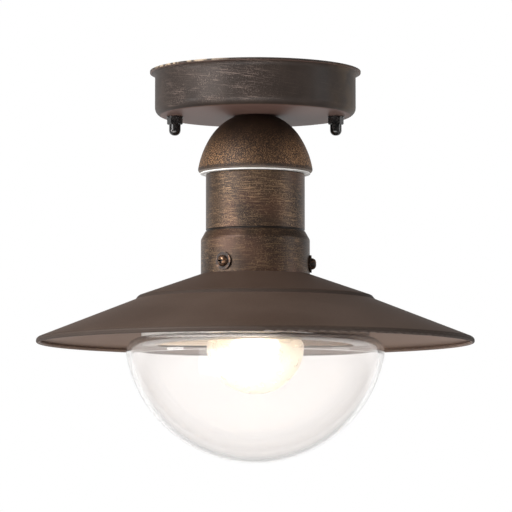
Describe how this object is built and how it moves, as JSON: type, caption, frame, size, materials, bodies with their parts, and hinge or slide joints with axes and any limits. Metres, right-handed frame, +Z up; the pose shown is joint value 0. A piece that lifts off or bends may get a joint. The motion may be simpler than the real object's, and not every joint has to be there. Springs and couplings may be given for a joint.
{
  "type": "outdoor ceiling light",
  "caption": "Outdoor ceiling light with a round canopy, domed neck and collar, wide conical metal shade and a clear screw-in glass bowl over a screw-base bulb.",
  "frame": {"origin": "centre of the bracket's slot pattern, on the ceiling plane", "axes": "+Z up into the ceiling, +X along the bracket, the pictured front faces -Y"},
  "size_m": [0.269, 0.269, 0.2416],
  "materials": {
    "canopy_finish": "brushed antique brown paint",
    "bronze_finish": "brushed antique bronze with gold speckle",
    "shade_finish": "matte brown paint",
    "holder_finish": "pale satin paint",
    "screw_finish": "glossy dark bronze",
    "black_nut": "gloss black",
    "zinc_steel": "zinc plated",
    "brass": "plain",
    "tinned_copper": "tinned",
    "white_plastic": "moulded",
    "brown_insulation": "extruded",
    "blue_insulation": "extruded",
    "green_insulation": "extruded, with a yellow stripe",
    "white_seal": "soft white",
    "clear_seal": "translucent",
    "clear_glass": "clear blown",
    "porcelain": "glazed",
    "bulb_glass": "clear blown",
    "bulb_cap_metal": "rolled thread",
    "black_insulator": "vitreous black",
    "glowing_filament": "lit"
  },
  "bodies": {
    "fixture": {"canopy": "canopy_finish", "mounting_bracket": "zinc_steel", "bracket_studs": "zinc_steel", "stud_lock_nuts": "zinc_steel", "earth_screw": "brass", "earth_lug": "tinned_copper", "terminal_block": "white_plastic", "terminal_screws": "zinc_steel", "terminal_block_screws": "zinc_steel", "live_wire": "brown_insulation", "neutral_wire": "blue_insulation", "earth_wire": "green_insulation", "nipple": "zinc_steel", "nipple_washers": "zinc_steel", "nipple_nuts": "zinc_steel", "dome_cap": "bronze_finish", "dome_seal": "white_seal", "neck_housing": "bronze_finish", "shade": "shade_finish", "glass_holder": "holder_finish", "lampholder_cap": "zinc_steel", "lampholder_body": "porcelain", "lampholder_shell": "brass", "lampholder_terminals": "brass"},
    "glass_seal": {"glass_seal": "clear_seal"},
    "glass": {"glass_dome": "clear_glass"},
    "bulb_contact": {"centre_contact": "brass"},
    "bulb": {"bulb_glass": "bulb_glass", "bulb_cap": "bulb_cap_metal", "bulb_insulator": "black_insulator", "bulb_tip": "tinned_copper", "bulb_stem": "bulb_glass", "bulb_leads": "tinned_copper", "bulb_filament": "glowing_filament"},
    "nut_washer_left": {"nut_washer_left": "black_nut"},
    "cap_nut_left": {"cap_nut_left": "black_nut"},
    "nut_washer_right": {"nut_washer_right": "black_nut"},
    "cap_nut_right": {"cap_nut_right": "black_nut"},
    "collar_washer_front": {"collar_washer_front": "screw_finish"},
    "collar_screw_front": {"collar_screw_front": "screw_finish"},
    "collar_washer_right": {"collar_washer_right": "screw_finish"},
    "collar_screw_right": {"collar_screw_right": "screw_finish"},
    "collar_washer_rear": {"collar_washer_rear": "screw_finish"},
    "collar_screw_rear": {"collar_screw_rear": "screw_finish"}
  },
  "joints": [
    {"name": "glass_out", "type": "slide", "parent": "fixture", "child": "glass_seal", "axis": [0, 0, -1], "range_m": [0, 0.01]},
    {"name": "glass_turn", "type": "hinge", "parent": "glass_seal", "child": "glass", "pos_m": [0, 0, -0.17], "axis": [0, 0, -1], "range_deg": [0, 454.5]},
    {"name": "bulb_turn", "type": "hinge", "parent": "fixture", "child": "bulb_contact", "pos_m": [0, 0, -0.1], "axis": [0, 0, -1], "range_deg": [0, 1818]},
    {"name": "bulb_out", "type": "slide", "parent": "bulb_contact", "child": "bulb", "axis": [0, 0, -1], "range_m": [0, 0.01815]},
    {"name": "cap_nut_left_out", "type": "slide", "parent": "fixture", "child": "nut_washer_left", "axis": [0, 0, -1], "range_m": [0, 0.0072]},
    {"name": "cap_nut_left_turn", "type": "hinge", "parent": "nut_washer_left", "child": "cap_nut_left", "pos_m": [-0.0497, 0, -0.032], "axis": [0, 0, -1], "range_deg": [0, 3272.4]},
    {"name": "cap_nut_right_out", "type": "slide", "parent": "fixture", "child": "nut_washer_right", "axis": [0, 0, -1], "range_m": [0, 0.0072]},
    {"name": "cap_nut_right_turn", "type": "hinge", "parent": "nut_washer_right", "child": "cap_nut_right", "pos_m": [0.0497, 0, -0.032], "axis": [0, 0, -1], "range_deg": [0, 3272.4]},
    {"name": "collar_screw_front_out", "type": "slide", "parent": "fixture", "child": "collar_washer_front", "axis": [-0.5693, -0.8221, 0], "range_m": [0, 0.0049]},
    {"name": "collar_screw_front_turn", "type": "hinge", "parent": "collar_washer_front", "child": "collar_screw_front", "pos_m": [-0.0191, -0.02758, -0.11934], "axis": [-0.5693, -0.8221, 0], "range_deg": [0, 2545.2]},
    {"name": "collar_screw_right_out", "type": "slide", "parent": "fixture", "child": "collar_washer_right", "axis": [0.9966, -0.0819, 0], "range_m": [0, 0.0049]},
    {"name": "collar_screw_right_turn", "type": "hinge", "parent": "collar_washer_right", "child": "collar_screw_right", "pos_m": [0.03344, -0.00275, -0.11934], "axis": [0.9966, -0.0819, 0], "range_deg": [0, 2545.2]},
    {"name": "collar_screw_rear_out", "type": "slide", "parent": "fixture", "child": "collar_washer_rear", "axis": [-0.4274, 0.9041, 0], "range_m": [0, 0.0049]},
    {"name": "collar_screw_rear_turn", "type": "hinge", "parent": "collar_washer_rear", "child": "collar_screw_rear", "pos_m": [-0.01434, 0.03033, -0.11934], "axis": [-0.4274, 0.9041, 0], "range_deg": [0, 2545.2]}
  ],
  "couplings": [
    {"joint": "glass_turn", "follows": "glass_out", "rad_per_m": 785.4},
    {"joint": "bulb_turn", "follows": "bulb_out", "rad_per_m": 1731.4},
    {"joint": "cap_nut_left_turn", "follows": "cap_nut_left_out", "rad_per_m": 7854},
    {"joint": "cap_nut_right_turn", "follows": "cap_nut_right_out", "rad_per_m": 7854},
    {"joint": "collar_screw_front_turn", "follows": "collar_screw_front_out", "rad_per_m": 8976},
    {"joint": "collar_screw_right_turn", "follows": "collar_screw_right_out", "rad_per_m": 8976},
    {"joint": "collar_screw_rear_turn", "follows": "collar_screw_rear_out", "rad_per_m": 8976}
  ]
}
